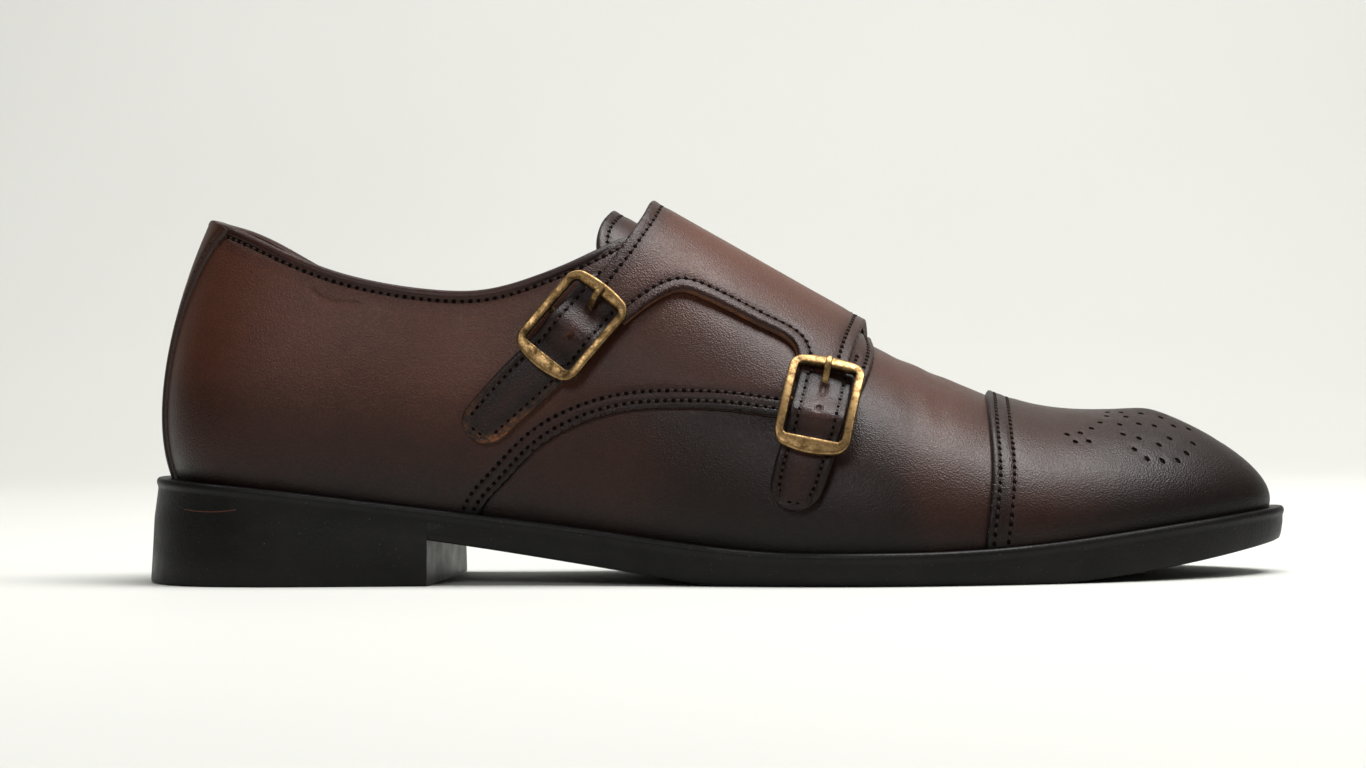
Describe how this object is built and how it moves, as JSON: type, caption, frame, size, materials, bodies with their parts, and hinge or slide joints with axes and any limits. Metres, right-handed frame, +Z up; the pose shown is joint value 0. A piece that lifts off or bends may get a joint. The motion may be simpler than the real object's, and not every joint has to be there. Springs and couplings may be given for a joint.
{
  "type": "monk strap shoe",
  "caption": "Right monk strap shoe: leather upper with a cap toe, an instep flap with buckled straps, and a rubber sole and heel in one piece.",
  "frame": {"origin": "on the ground under the middle of the shoe's bounding box", "axes": "+X towards the toe, +Y towards the inner side of the foot, +Z up"},
  "size_m": [0.3018, 0.1038, 0.1009],
  "materials": {
    "sole_rubber": "satin black moulded rubber",
    "insole_leather": "smooth sock leather",
    "vamp_leather": "burnished fine grain",
    "tongue_leather": "smooth grain",
    "toe_cap_leather": "burnished fine grain",
    "quarter_leather": "burnished fine grain",
    "strap_leather": "smooth grain, raw cut edges",
    "backstay_leather": "smooth grain",
    "buckle_brass": "antique, darkened in the corners"
  },
  "bodies": {
    "root": {"sole_and_heel": "sole_rubber", "insole": "insole_leather", "upper": "vamp_leather", "tongue": "tongue_leather", "toe_cap": "toe_cap_leather", "outer_quarter": "quarter_leather", "inner_quarter_and_straps": "strap_leather", "backstay": "backstay_leather", "rear_buckle_frame": "buckle_brass", "rear_buckle_prong": "buckle_brass", "front_buckle_frame": "buckle_brass", "front_buckle_prong": "buckle_brass"}
  },
  "joints": []
}
